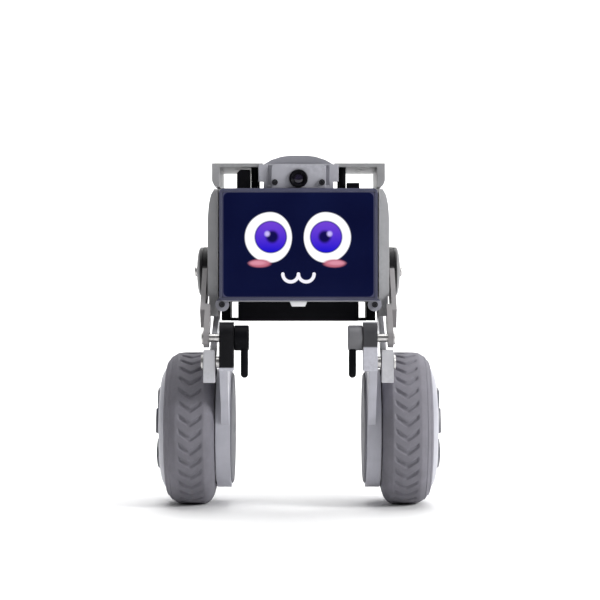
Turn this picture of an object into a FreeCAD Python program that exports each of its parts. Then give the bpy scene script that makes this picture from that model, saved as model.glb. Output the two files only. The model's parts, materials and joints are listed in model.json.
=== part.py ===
"""Coding robot: a screen-faced body on two folding legs with hub-motor wheels.

Frame: +Z up, the face looks along -Y, +X is the robot's own left. The origin is
on the ground under the middle of the object. Lengths are millimetres.

Each leg is a four-bar linkage. The thigh arm turns on the hip servo and carries
the knee, the second link runs from the body to a pin below the knee, and the
shank carries the hub motor and the wheel.
"""
import FreeCAD, Part
import math
import os
import Sketcher

Vector = FreeCAD.Vector
doc = FreeCAD.newDocument("coding_robot")
sheet = doc.addObject("Spreadsheet::Sheet", "sizes")

DRIVING = (
    # Where the pivots are. "back" and "ahead" are counted from the wheel axle.
    ("axle_y", 7.25),
    ("tyre_radius", 37.75),
    ("hip_z", 115.75),
    ("knee_ahead", 46.0),
    ("knee_z", 83.5),
    ("link_pin_drop", 11.5),
    ("link_top_back", 8.0),
    ("link_top_z", 97.8),
    # Layers of one leg, counted outwards from the middle of the robot.
    ("guide_x", 23.4),
    ("guide_end_x", 30.5),
    ("knee_block_x", 30.6),
    ("shank_x", 33.2),
    ("shank_arm_end_x", 37.4),
    ("housing_end_x", 40.3),
    ("link_x", 39.4),
    ("link_thickness", 2.6),
    ("link_block_end_x", 44.9),
    ("thigh_knee_x", 42.4),
    ("thigh_knee_end_x", 45.0),
    ("thigh_hip_x", 44.9),
    ("thigh_hip_end_x", 47.3),
    ("hip_cap_end_x", 50.5),
    ("hip_screw_end_x", 51.8),
    # Radii and widths of the leg parts.
    ("hip_radius", 12.25),
    ("horn_radius", 10.0),
    ("knee_eye_radius", 4.6),
    ("knee_radius", 6.25),
    ("knee_crown", 1.3),
    ("knee_block_z", 68.0),
    ("knee_pin_radius", 2.0),
    ("link_eye_radius", 4.2),
    ("link_half_width", 3.6),
    ("link_block_half", 5.0),
    ("link_block_drop", 9.6),
    ("link_block_rise", 5.8),
    ("link_pin_radius", 1.7),
    ("link_pin_play", 0.8),
    ("running_play", 0.05),
    ("finger_half_width", 3.0),
    ("finger_length", 19.0),
    ("finger_thickness", 3.6),
    ("housing_radius", 29.5),
    # Wheel and motor.
    ("tyre_x", 40.75),
    ("tyre_end_x", 65.4),
    ("tread_x", 45.3),
    ("tread_end_x", 59.75),
    ("rim_radius", 28.0),
    ("rim_wall", 2.8),
    ("rim_x", 41.5),
    ("rim_end_x", 62.0),
    ("cap_seat_radius", 30.5),
    ("cap_rim_x", 68.2),
    ("cap_rim_radius", 24.0),
    ("wheel_end_x", 70.25),
    ("axle_radius", 2.5),
    ("bearing_radius", 5.0),
    ("bearing_width", 3.0),
    ("stator_radius", 24.6),
    ("stator_x", 43.0),
    ("stator_end_x", 54.0),
    ("stator_bore", 9.0),
    # Body.
    ("cover_x", 39.0),
    ("cover_end_x", 44.1),
    ("cover_wall", 1.6),
    ("cover_half_depth", 26.0),
    ("cover_bottom_z", 103.0),
    ("cover_apron_depth", 5.5),
    ("cover_apron_z", 93.6),
    ("cover_top_z", 155.4),
    ("floor_z", 100.6),
    ("plate_thickness", 1.8),
    ("plate_half_width", 38.7),
    ("plate_ahead", 28.8),
    ("plate_back", 25.0),
    ("top_plate_z", 153.4),
    ("rear_cover_back", 26.3),
    ("rear_cover_depth", 2.0),
    # Screen.
    ("screen_z", 128.1),
    ("bezel_half_width", 38.1),
    ("bezel_half_height", 27.15),
    ("bezel_ahead", 35.0),
    ("glass_half_width", 36.6),
    ("glass_half_height", 25.25),
    ("glass_thickness", 1.1),
    ("panel_half_width", 34.2),
    ("panel_half_height", 23.2),
    ("ear_x", 36.8),
    ("ear_z", 99.3),
    ("ear_radius", 3.3),
    # Camera and roof.
    ("lens_z", 160.2),
    ("lens_radius", 4.35),
    ("camera_ahead", 30.4),
    ("camera_half_width", 13.05),
    ("camera_bottom_z", 155.6),
    ("camera_top_z", 167.2),
    ("hump_half_width", 16.9),
    ("hump_shoulder_z", 167.2),
    ("hump_top_half", 11.0),
    ("wing_half_width", 19.4),
    ("wing_bottom_z", 158.8),
    ("plate_screw_x", 11.4),
    ("plate_screw_z", 158.3),
    ("hump_top_z", 171.5),
    ("roof_half_width", 42.0),
    ("roof_top_z", 167.9),
    ("roof_thickness", 1.8),
    ("roof_leg_thickness", 3.8),
    ("roof_leg_bottom_z", 156.4),
    ("post_x", 21.4),
    ("post_radius", 1.7),
    # Battery box, link brackets, servos and screws.
    ("battery_box_half", 29.3),
    ("battery_box_bottom_z", 91.3),
    ("box_wall", 1.5),
    ("bracket_x", 33.5),
    ("bracket_end_x", 38.0),
    ("servo_x", 5.2),
    ("servo_end_x", 38.2),
    ("servo_half_depth", 10.0),
    ("servo_height", 40.0),
    ("screw_radius", 1.0),
    ("screw_head_radius", 1.45),
    ("screw_head_height", 1.3),
    ("button_radius", 3.5),
    ("port_z", 110.0),
    ("usb_x", 15.5),
    ("usb_half_width", 4.5),
    ("usb_half_height", 1.6),
    ("vent_half_width", 18.0),
    ("vent_z", 128.0),
    ("vent_pitch", 3.6),
    ("vent_height", 1.6),
    ("cable_hole_x", 18.0),
    ("cable_hole_back", 17.0),
    ("cable_hole_radius", 3.5),
    ("board_back", 18.0),
    ("board_thickness", 1.6),
    ("board_half_width", 34.0),
    ("board_bottom_z", 104.0),
    ("board_top_z", 151.0),
    ("roof_hole_x", 30.0),
    ("roof_hole_y", 8.0),
    ("roof_hole_radius", 1.6),
    ("button_x", -15.0),
    ("board_post_x", 31.0),
    ("board_post_low_z", 107.5),
    ("board_post_high_z", 147.5),
    ("rear_screw_x", 38.0),
    ("rear_screw_low_z", 105.0),
    ("rear_screw_high_z", 150.0),
)


class Size:
    """A length, as a number and as the same expression on the sheet."""

    def __init__(self, value, text):
        self.value = value
        self.text = text

    def __add__(self, other):
        other = size_of(other)
        return Size(self.value + other.value, f"({self.text} + {other.text})")

    def __sub__(self, other):
        other = size_of(other)
        return Size(self.value - other.value, f"({self.text} - {other.text})")

    def __mul__(self, other):
        other = size_of(other)
        return Size(self.value * other.value, f"({self.text} * {other.text})")

    def __truediv__(self, other):
        other = size_of(other)
        return Size(self.value / other.value, f"({self.text} / {other.text})")

    def __neg__(self):
        return Size(-self.value, f"(0 - {self.text})")

    def root(self):
        return Size(math.sqrt(self.value), f"sqrt({self.text})")


def size_of(value):
    """Any plain number as a Size."""
    if isinstance(value, Size):
        return value
    return Size(float(value), f"({float(value):.4f})")


def fill_sheet():
    """Write the driving dimensions to the sheet and return them as Sizes."""
    named = {}
    for row, (alias, value) in enumerate(DRIVING, start=1):
        sheet.set(f"A{row}", alias)
        sheet.set(f"B{row}", str(value))
        sheet.setAlias(f"B{row}", alias)
        named[alias] = Size(value, f"sizes.{alias}")
    doc.recompute()
    return named


D = fill_sheet()
ZERO = size_of(0)
AXLE_Y = D["axle_y"]
AXLE_Z = D["tyre_radius"]
KNEE_Y = AXLE_Y - D["knee_ahead"]
LINK_PIN_Z = D["knee_z"] - D["link_pin_drop"]
LINK_TOP_Y = AXLE_Y + D["link_top_back"]
BODY_FRONT = AXLE_Y - D["plate_ahead"]
BODY_BACK = AXLE_Y + D["plate_back"]
BEZEL_FRONT = AXLE_Y - D["bezel_ahead"]
CAMERA_FRONT = AXLE_Y - D["camera_ahead"]
SIDES = (("left", 1), ("right", -1))
PORT_PLAY = 0.4


def pattern(x, low_z, high_z):
    """Four places, two on each side of the middle, at two heights."""
    return [(D[x] * side, D[z]) for side in (-1, 1) for z in (low_z, high_z)]


BOARD_POSTS = pattern("board_post_x", "board_post_low_z", "board_post_high_z")
REAR_SCREWS = pattern("rear_screw_x", "rear_screw_low_z", "rear_screw_high_z")

# The sketch plane across each row axis, and the way its normal points.
PLANES = {"X": ("YZ_Plane", 1), "Y": ("XZ_Plane", -1), "Z": ("XY_Plane", 1)}
parts = {}


# ---- Drawing in sketches ----------------------------------------------------

def pin_point(sketch, geometry, end, across, up):
    """Hold one point of a sketch at a place that the sheet gives."""
    for kind, size in (("DistanceX", across), ("DistanceY", up)):
        link = Sketcher.Constraint(kind, -1, 1, geometry, end, size.value)
        index = sketch.addConstraint(link)
        sketch.setExpression(f"Constraints[{index}]", size.text)


def disc(across, up, radius):
    """A circle to draw in a sketch."""
    across, up, radius = size_of(across), size_of(up), size_of(radius)

    def draw(sketch):
        centre = Vector(across.value, up.value, 0)
        circle = Part.Circle(centre, Vector(0, 0, 1), radius.value)
        index = sketch.addGeometry(circle, False)
        pin_point(sketch, index, 3, across, up)
        limit = sketch.addConstraint(Sketcher.Constraint("Radius", index, radius.value))
        sketch.setExpression(f"Constraints[{limit}]", radius.text)

    return draw


def polygon(points):
    """A closed outline of straight edges to draw in a sketch."""
    points = [(size_of(across), size_of(up)) for across, up in points]

    def draw(sketch):
        first = sketch.GeometryCount
        count = len(points)
        corners = [Vector(across.value, up.value, 0) for across, up in points]
        for index in range(count):
            edge = Part.LineSegment(corners[index], corners[(index + 1) % count])
            sketch.addGeometry(edge, False)
        for index in range(count):
            following = first + (index + 1) % count
            sketch.addConstraint(Sketcher.Constraint("Coincident", first + index, 2, following, 1))
        for index, (across, up) in enumerate(points):
            pin_point(sketch, first + index, 1, across, up)

    return draw


def rectangle(left, right, bottom, top):
    """An upright rectangle to draw in a sketch."""
    return polygon([(left, bottom), (right, bottom), (right, top), (left, top)])


def strip(start, end, half_start, half_end):
    """A tapered bar between two points, given its half widths there."""
    run = (end[0] - start[0], end[1] - start[1])
    length = (run[0] * run[0] + run[1] * run[1]).root()
    normal = (-run[1] / length, run[0] / length)
    corners = []
    for centre, half in ((start, half_start), (end, half_end)):
        corners.append((centre[0] + normal[0] * half, centre[1] + normal[1] * half))
        corners.append((centre[0] - normal[0] * half, centre[1] - normal[1] * half))
    return polygon([corners[0], corners[1], corners[3], corners[2]])


# ---- Features of a body -----------------------------------------------------

def place(thing, at):
    """Put an object at a point that the sheet gives."""
    for letter, size in zip("xyz", at):
        thing.setExpression(f"Placement.Base.{letter}", size_of(size).text)


def new_body(name, at=None):
    """An empty body that becomes the node of this name."""
    body = doc.addObject("PartDesign::Body", name)
    body.Label = name
    if at is not None:
        place(body, at)
    parts[name] = body
    return body


def sketch_at(body, axis, position):
    """A sketch across one row axis, at a place along it."""
    role, sign = PLANES[axis]
    plane = next(item for item in body.Origin.OriginFeatures if item.Role == role)
    sketch = body.newObject("Sketcher::SketchObject", f"{body.Name}_sketch")
    sketch.AttachmentSupport = [(plane, "")]
    sketch.MapMode = "FlatFace"
    offset = size_of(position) * sign
    sketch.setExpression("AttachmentOffset.Base.z", offset.text)
    return sketch


def extrude(body, kind, axis, start, low, high, draw):
    """A Pad or a Pocket between two places along an axis."""
    sketch = sketch_at(body, axis, start)
    draw(sketch)
    feature = body.newObject(f"PartDesign::{kind}", f"{body.Name}_{kind.lower()}")
    feature.Profile = sketch
    feature.setExpression("Length", (size_of(high) - low).text)
    body.Tip = feature
    return feature


def pad(body, axis, low, high, draw):
    """Material between two places along an axis."""
    start = low if PLANES[axis][1] > 0 else high
    return extrude(body, "Pad", axis, start, low, high, draw)


def pocket(body, axis, low, high, draw):
    """A cut between two places along an axis."""
    start = high if PLANES[axis][1] > 0 else low
    return extrude(body, "Pocket", axis, start, low, high, draw)


def turn(body, points):
    """A solid turned about the body's own X axis, from (x, radius) points."""
    sketch = sketch_at(body, "Y", ZERO)
    polygon(points)(sketch)
    feature = body.newObject("PartDesign::Revolution", f"{body.Name}_turned")
    feature.Profile = sketch
    feature.ReferenceAxis = (sketch, ["H_Axis"])
    feature.Angle = 360.0
    body.Tip = feature
    return feature


def ring_of(body, feature, count):
    """Repeat a feature round the body's own X axis."""
    pattern = body.newObject("PartDesign::PolarPattern", f"{body.Name}_pattern")
    pattern.Originals = [feature]
    axis = next(item for item in body.Origin.OriginFeatures if item.Role == "X_Axis")
    pattern.Axis = (axis, [""])
    pattern.Angle = 360.0
    pattern.Occurrences = count
    body.Tip = pattern
    return pattern


def round_edges(body, radius, wanted):
    """Fillet the edges of the body that pass a test."""
    doc.recompute()
    base = body.Tip
    names = [f"Edge{i}" for i, edge in enumerate(base.Shape.Edges, start=1) if wanted(edge)]
    fillet = body.newObject("PartDesign::Fillet", f"{body.Name}_fillet")
    fillet.Base = (base, names)
    fillet.setExpression("Radius", size_of(radius).text)
    body.Tip = fillet
    return fillet


def along(axis):
    """A test for straight edges that run along a row axis."""
    direction = {"X": Vector(1, 0, 0), "Y": Vector(0, 1, 0), "Z": Vector(0, 0, 1)}[axis]

    def wanted(edge):
        if edge.Curve.TypeId != "Part::GeomLine":
            return False
        return abs(abs(edge.tangentAt(edge.FirstParameter).dot(direction)) - 1) < 1e-6

    return wanted


def span(side, low, high):
    """A stretch of X on the given side of the robot, lowest end first."""
    low, high = size_of(low), size_of(high)
    return (low, high) if side > 0 else (-high, -low)


def leg_pad(body, side, low, high, draw):
    return pad(body, "X", *span(side, low, high), draw)


def leg_pocket(body, side, low, high, draw):
    return pocket(body, "X", *span(side, low, high), draw)


def leg_turn(body, side, points):
    return turn(body, [(size_of(along_x) * side, radius) for along_x, radius in points])


# ---- Groups of small round pieces -------------------------------------------

# Turns that point a cylinder's own +Z along a row direction.
TURNS = {
    "+X": FreeCAD.Rotation(Vector(0, 1, 0), 90),
    "-X": FreeCAD.Rotation(Vector(0, 1, 0), -90),
    "+Y": FreeCAD.Rotation(Vector(1, 0, 0), -90),
    "-Y": FreeCAD.Rotation(Vector(1, 0, 0), 90),
    "+Z": FreeCAD.Rotation(),
}


def rod(name, direction, at, radius, length):
    """A cylinder from a point, along a row direction."""
    cylinder = doc.addObject("Part::Cylinder", name)
    cylinder.setExpression("Radius", size_of(radius).text)
    cylinder.setExpression("Height", size_of(length).text)
    cylinder.Placement = FreeCAD.Placement(Vector(), TURNS[direction])
    place(cylinder, at)
    return cylinder


def fuse(name, shapes):
    joined = doc.addObject("Part::MultiFuse", name)
    joined.Shapes = shapes
    return joined


def cut(name, base, tool):
    left_over = doc.addObject("Part::Cut", name)
    left_over.Base = base
    left_over.Tool = tool
    return left_over


def group(name, pieces):
    """Several alike pieces as one node."""
    bundle = doc.addObject("Part::Compound", name)
    bundle.Label = name
    bundle.Links = pieces
    parts[name] = bundle
    return bundle


def step_along(at, direction, distance):
    """The point a distance from another, along a row direction."""
    index = "XYZ".index(direction[1])
    moved = list(at)
    shift = size_of(distance)
    moved[index] = size_of(at[index]) + (shift if direction[0] == "+" else -shift)
    return tuple(moved)


def cap_screw(name, direction, at, length):
    """A small screw with a hex socket: its head stands on the point `at`."""
    back = ("-" if direction[0] == "+" else "+") + direction[1]
    head = rod(f"{name}_head", direction, at, D["screw_head_radius"], D["screw_head_height"])
    stem = rod(f"{name}_stem", back, at, D["screw_radius"], length)
    socket = doc.addObject("Part::Prism", f"{name}_socket")
    socket.Polygon = 6
    socket.setExpression("Circumradius", (D["screw_head_radius"] * 0.5).text)
    socket.setExpression("Height", D["screw_head_height"].text)
    socket.Placement = FreeCAD.Placement(Vector(), TURNS[direction])
    place(socket, step_along(at, direction, D["screw_head_height"] * 0.4))
    return cut(name, fuse(f"{name}_solid", [head, stem]), socket)


# ---- Body of the robot ------------------------------------------------------

def build_plates():
    """The floor and top plates that hold the body together."""
    across = D["plate_half_width"]
    for name, low in (("bottom_plate", D["floor_z"]), ("top_plate", D["top_plate_z"])):
        body = new_body(name)
        pad(body, "Z", low, low + D["plate_thickness"],
            rectangle(-across, across, BODY_FRONT, BODY_BACK))
        for side in (-1, 1):
            hole = disc(D["cable_hole_x"] * side, AXLE_Y + D["cable_hole_back"],
                        D["cable_hole_radius"])
            pocket(body, "Z", low, low + D["plate_thickness"], hole)


def build_side_covers():
    """Moulded shells over the hip servos, rounded along their top edge."""
    inner, outer = D["cover_x"], D["cover_end_x"]
    bottom, top = D["cover_bottom_z"], D["cover_top_z"]
    front = AXLE_Y - D["cover_half_depth"]
    back = AXLE_Y + D["cover_half_depth"]
    profile = (
        (inner, bottom), (outer - 1.2, bottom), (outer, bottom + 1.2), (outer, top - 14),
        (outer - 0.5, top - 7.5), (outer - 1.5, top - 2.8), (outer - 3.1, top), (inner, top),
    )
    for name, side in SIDES:
        body = new_body(f"side_cover_{name}")
        pad(body, "Y", front, back, polygon([(size_of(x) * side, z) for x, z in profile]))
        wall = D["cover_wall"]
        leg_pocket(body, side, inner - 1, outer - wall,
                   rectangle(front + wall, back - wall, bottom + wall, top - wall - 5))
        leg_pocket(body, side, inner - 1, outer + 1, disc(AXLE_Y, D["hip_z"], D["horn_radius"] + 0.5))
        leg_pad(body, side, inner, outer - 0.6,
                rectangle(front, front + D["cover_apron_depth"], D["cover_apron_z"], bottom + 2))


def build_rear_cover():
    """The back of the body, with vents, the ports and posts for the board."""
    body = new_body("rear_cover")
    low = AXLE_Y + D["rear_cover_back"]
    high = low + D["rear_cover_depth"]
    outer = D["cover_end_x"] - 0.8
    bottom = D["floor_z"]
    top = D["cover_top_z"]
    pad(body, "Y", low, high, rectangle(-outer, outer, bottom, top))
    round_edges(body, 2.0, along("Y"))
    for x, z in BOARD_POSTS:
        pad(body, "Y", AXLE_Y + 19.7, low, disc(x, z, 2.2))
    across = D["vent_half_width"]
    for index in range(6):
        z = D["vent_z"] + D["vent_pitch"] * index
        pocket(body, "Y", low - 0.5, high + 0.5,
               rectangle(-across, across, z, z + D["vent_height"]))
    pocket(body, "Y", low - 0.5, high + 0.5,
           disc(D["button_x"], D["port_z"], D["button_radius"] + 0.25))
    wide, tall = D["usb_half_width"] + PORT_PLAY, D["usb_half_height"] + PORT_PLAY
    pocket(body, "Y", low - 0.5, high + 0.5,
           rectangle(D["usb_x"] - wide, D["usb_x"] + wide, D["port_z"] - tall, D["port_z"] + tall))
    for x, z in REAR_SCREWS:
        pocket(body, "Y", low - 0.5, high + 0.5, disc(x, z, D["screw_radius"] + 0.05))


def build_electronics():
    """Main board with its chips, USB socket, battery and battery box."""
    board = new_body("main_board")
    near = AXLE_Y + D["board_back"]
    rear = near + D["board_thickness"]
    across = D["board_half_width"]
    pad(board, "Y", near, rear, rectangle(-across, across, D["board_bottom_z"], D["board_top_z"]))
    # Two chips on the front of the board, and the switch behind it.
    pad(board, "Y", near - 1.6, near, rectangle(-9, 9, 124, 142))
    pad(board, "Y", near - 2.4, near, rectangle(14, 26, 126, 136))
    switch = D["button_x"]
    pad(board, "Y", rear, rear + 4,
        rectangle(switch - 3, switch + 3, D["port_z"] - 3, D["port_z"] + 3))
    for x, z in BOARD_POSTS:
        pocket(board, "Y", near - 0.5, near + 2, disc(x, z, 1.1))

    socket = new_body("usb_socket")
    mouth = AXLE_Y + D["rear_cover_back"] + D["rear_cover_depth"]
    left, right = D["usb_x"] - D["usb_half_width"], D["usb_x"] + D["usb_half_width"]
    low, high = D["port_z"] - D["usb_half_height"], D["port_z"] + D["usb_half_height"]
    pad(socket, "Y", rear, mouth, rectangle(left, right, low, high))
    round_edges(socket, 1.5, along("Y"))
    pocket(socket, "Y", near + 4, mouth + 0.5,
           rectangle(left + 1, right - 1, low + 0.4, high - 0.4))
    pad(socket, "Y", near + 3.5, mouth - 0.6,
        rectangle(left + 1.6, right - 1.6, low + 1.25, high - 1.25))

    half = D["battery_box_half"]
    wall = D["box_wall"]
    bottom, top = D["battery_box_bottom_z"], D["floor_z"]
    front, back = BODY_FRONT + 1.5, AXLE_Y + 22
    box = new_body("battery_box")
    pad(box, "Z", bottom, top, rectangle(-half, half, front, back))
    round_edges(box, 1.2, along("Z"))
    lip = D["bracket_x"] - 0.1
    pad(box, "Z", bottom, bottom + 1.4, rectangle(-lip, lip, front + 9, back - 6))
    pocket(box, "Z", bottom + wall, top + 1,
           rectangle(-half + wall, half - wall, front + wall, back - wall))

    pack = new_body("battery_pack")
    pad(pack, "Z", bottom + wall, top - 0.6,
        rectangle(-half + wall + 1, half - wall - 1, front + wall + 1, back - wall - 1))
    round_edges(pack, 1.5, along("Z"))


def build_button():
    """Power button: a round cap on a stem, pressed in along -Y."""
    body = new_body("power_button", (D["button_x"], AXLE_Y, D["port_z"]))
    back = D["rear_cover_back"] + D["rear_cover_depth"]
    # A collar behind the rear cover keeps the cap in, and leaves 0.4 mm of play.
    collar = D["rear_cover_back"] - 1.4
    pad(body, "Y", collar, collar + 1.0, disc(0, 0, D["button_radius"] + 0.7))
    pad(body, "Y", collar + 0.5, back + 1.3, disc(0, 0, D["button_radius"]))


def build_screen():
    """Bezel with two ear bosses, glass, panel and the clip under them."""
    front = BEZEL_FRONT
    back = BODY_FRONT
    middle = D["screen_z"]
    half, tall = D["bezel_half_width"], D["bezel_half_height"]
    bezel = new_body("display_bezel")
    pad(bezel, "Y", front, back, rectangle(-half, half, middle - tall, middle + tall))
    round_edges(bezel, 2.2, along("Y"))
    for side in (-1, 1):
        pad(bezel, "Y", front + 1.6, back, disc(D["ear_x"] * side, D["ear_z"], D["ear_radius"]))
    seat = 0.12
    wide, high = D["glass_half_width"] + seat, D["glass_half_height"] + seat
    pocket(bezel, "Y", front - 1, front + D["glass_thickness"] + 0.05,
           rectangle(-wide, wide, middle - high, middle + high))
    wide, high = D["panel_half_width"] + seat, D["panel_half_height"] + seat
    pocket(bezel, "Y", front, back + 1, rectangle(-wide, wide, middle - high, middle + high))
    for side in (-1, 1):
        pocket(bezel, "Y", front + 1, back + 1,
               disc(D["ear_x"] * side, D["ear_z"], D["screw_radius"] + 0.05))

    glass = new_body("display_glass")
    wide, high = D["glass_half_width"], D["glass_half_height"]
    pad(glass, "Y", front + 0.05, front + D["glass_thickness"],
        rectangle(-wide, wide, middle - high, middle + high))
    round_edges(glass, 1.2, along("Y"))

    panel = new_body("display_panel")
    wide, high = D["panel_half_width"], D["panel_half_height"]
    pad(panel, "Y", front + D["glass_thickness"] + 0.02, back - 0.4,
        rectangle(-wide, wide, middle - high, middle + high))

    clip = new_body("display_clip")
    under = middle - tall
    pad(clip, "Y", front + 1, back - 1,
        polygon([(-3.2, under - 2.6), (3.2, under - 2.6), (4.3, under), (-4.3, under)]))


def build_camera():
    """Camera on top of the body: housing, face plate and lens."""
    low, high = D["camera_bottom_z"], D["camera_top_z"]
    half = D["camera_half_width"]
    face_front = CAMERA_FRONT
    face_back = face_front + 1.8
    face = new_body("camera_face")
    pad(face, "Y", face_front, face_back, rectangle(-half, half, low, high))
    round_edges(face, 2.4, lambda edge: along("Y")(edge) and edge.BoundBox.ZMin > D["lens_z"].value)
    pocket(face, "Y", face_front - 1, face_back + 1, disc(0, D["lens_z"], D["lens_radius"] + 0.1))
    for side in (-1, 1):
        pocket(face, "Y", face_front - 1, face_back + 1,
               disc(D["plate_screw_x"] * side, D["plate_screw_z"],
                    D["screw_radius"] + 0.05))

    housing = new_body("camera_housing")
    wide = D["hump_half_width"]
    shoulder, top, narrow = D["hump_shoulder_z"], D["hump_top_z"], D["hump_top_half"]
    floor = D["top_plate_z"] + D["plate_thickness"]
    crown = [(wide, shoulder), (narrow + 2.2, top - 2.1), (narrow - 2.8, top - 0.5), (narrow - 7, top)]
    mirrored = [(-x, z) for x, z in reversed(crown)]
    pad(housing, "Y", face_back, face_back + 19,
        polygon([(-wide, floor), (wide, floor), *crown, *mirrored]))
    for side in (-1, 1):
        low_x, high_x = span(side, 12, D["wing_half_width"])
        pad(housing, "Y", face_back, face_back + 1.5,
            rectangle(low_x, high_x, D["wing_bottom_z"], shoulder))
        # A shallow groove sets the face plate off from the wing beside it.
        low_x, high_x = span(side, half + 0.1, half + 1.7)
        pocket(housing, "Y", face_back - 0.5, face_back + 1.0,
               rectangle(low_x, high_x, low + 1.4, high - 0.4))
    pocket(housing, "Y", face_back + 1.6, face_back + 17.5,
           rectangle(-wide + 1.8, wide - 1.8, floor - 1, shoulder - 1.8))
    pocket(housing, "Y", face_back - 1, face_back + 3, disc(0, D["lens_z"], D["lens_radius"] + 0.1))

    lens = new_body("camera_lens", (0, face_front, D["lens_z"]))
    radius = D["lens_radius"]
    pad(lens, "Y", -1.6, 9, disc(0, 0, radius))
    pad(lens, "Y", 5, 9, rectangle(-5.5, 5.5, -4.6, 4.6))
    pocket(lens, "Y", -2.6, -0.6, disc(0, 0, radius * 0.6))


def build_roof():
    """Roof bracket, its posts, and the two modules under it."""
    front, back = AXLE_Y - 26.8, AXLE_Y + 24
    half, top = D["roof_half_width"], D["roof_top_z"]
    low, leg = D["roof_leg_bottom_z"], D["roof_leg_thickness"]
    ceiling = top - D["roof_thickness"]
    roof = new_body("roof_bracket")
    pad(roof, "Z", ceiling, top, rectangle(-half, half, front, back))
    for side in (-1, 1):
        edge = size_of(0) + half * side
        inner = (half - leg) * side
        pad(roof, "Y", front, back, polygon([
            (edge, ceiling + 0.5), (edge, low + 3), (edge - 0.9 * side, low + 0.9),
            (edge - 2.2 * side, low), (inner, low), (inner, ceiling + 0.5)]))
    notch = D["hump_half_width"] + 0.4
    pocket(roof, "Z", ceiling - 1, top + 1, rectangle(-notch, notch, front - 1, front + 18.6))
    for side in (-1, 1):
        for end in (-1, 1):
            hole = disc(D["roof_hole_x"] * side, AXLE_Y + D["roof_hole_y"] * end,
                        D["roof_hole_radius"])
            pocket(roof, "Z", ceiling - 1, top + 1, hole)

    floor = D["top_plate_z"] + D["plate_thickness"]
    posts = []
    for index, (side, y) in enumerate(((-1, -21), (1, -21), (-1, 18), (1, 18))):
        at = (D["post_x"] * side, AXLE_Y + y, floor)
        posts.append(rod(f"roof_post_{index}", "+Z", at, D["post_radius"], ceiling - floor))
    group("roof_posts", posts)

    module = new_body("sensor_module")
    pad(module, "Y", AXLE_Y - 26.5, AXLE_Y - 12, polygon([
        (-29.9, floor), (-23.4, floor), (-23.4, 164.8), (-28.3, 164.8), (-29.9, 163.2)]))
    header = new_body("expansion_header")
    pad(header, "Y", AXLE_Y - 26.5, AXLE_Y - 19, rectangle(23.4, 29.6, floor, 158.4))


def build_servos():
    """Hip servos and the brackets under the body that hold the second links."""
    for name, side in SIDES:
        servo = new_body(f"hip_servo_{name}")
        low = D["floor_z"] + D["plate_thickness"]
        front = AXLE_Y - D["servo_half_depth"]
        back = AXLE_Y + D["servo_half_depth"]
        leg_pad(servo, side, D["servo_x"], D["servo_end_x"],
                rectangle(front, back, low, low + D["servo_height"]))
        round_edges(servo, 1.0, along("X"))
        leg_pad(servo, side, D["servo_end_x"], D["servo_end_x"] + 1.2, disc(AXLE_Y, D["hip_z"], 6.0))
        leg_pocket(servo, side, D["servo_end_x"] - 4, D["servo_end_x"] + 2,
                   disc(AXLE_Y, D["hip_z"], 3.0))

        bracket = new_body(f"link_bracket_{name}")
        leg_pad(bracket, side, D["bracket_x"], D["bracket_end_x"],
                polygon([(AXLE_Y - 12, D["floor_z"]), (AXLE_Y - 12, D["battery_box_bottom_z"]),
                         (AXLE_Y + 10, D["battery_box_bottom_z"]), (AXLE_Y + 14, 94),
                         (AXLE_Y + 14, D["floor_z"])]))
        leg_pocket(bracket, side, D["bracket_x"] - 1, D["bracket_end_x"] + 1,
                   disc(LINK_TOP_Y, D["link_top_z"], 1.5))

    screws = []
    for name, side in SIDES:
        direction = "+X" if side > 0 else "-X"
        far = D["link_x"] + D["link_thickness"] + 0.3
        stem = rod(f"link_screw_stem_{name}", direction,
                   (D["bracket_x"] * side, LINK_TOP_Y, D["link_top_z"]), 1.5,
                   D["bracket_end_x"] - D["bracket_x"])
        shoulder = rod(f"link_screw_shoulder_{name}", direction,
                       (D["bracket_end_x"] * side, LINK_TOP_Y, D["link_top_z"]),
                       D["knee_pin_radius"], far - D["bracket_end_x"])
        head = rod(f"link_screw_head_{name}", direction,
                   (far * side, LINK_TOP_Y, D["link_top_z"]), 3.4, 1.1)
        screws.append(fuse(f"link_screw_{name}", [stem, shoulder, head]))
    group("link_screws", screws)


def build_case_screws():
    """The small screws of the ears, the camera plate and the rear cover."""
    screws = []
    rear = AXLE_Y + D["rear_cover_back"] + D["rear_cover_depth"]
    places = []
    for side in (-1, 1):
        places.append(("-Y", (D["ear_x"] * side, BEZEL_FRONT + 1.6, D["ear_z"]), 4.0))
        plate_screw = (D["plate_screw_x"] * side, CAMERA_FRONT, D["plate_screw_z"])
        places.append(("-Y", plate_screw, 1.7))
    for x, z in REAR_SCREWS:
        places.append(("+Y", (x, rear, z), 5.0))
    for index, (direction, at, length) in enumerate(places):
        screws.append(cap_screw(f"case_screw_{index}", direction, at, length))
    group("case_screws", screws)


# ---- Legs -------------------------------------------------------------------

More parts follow.
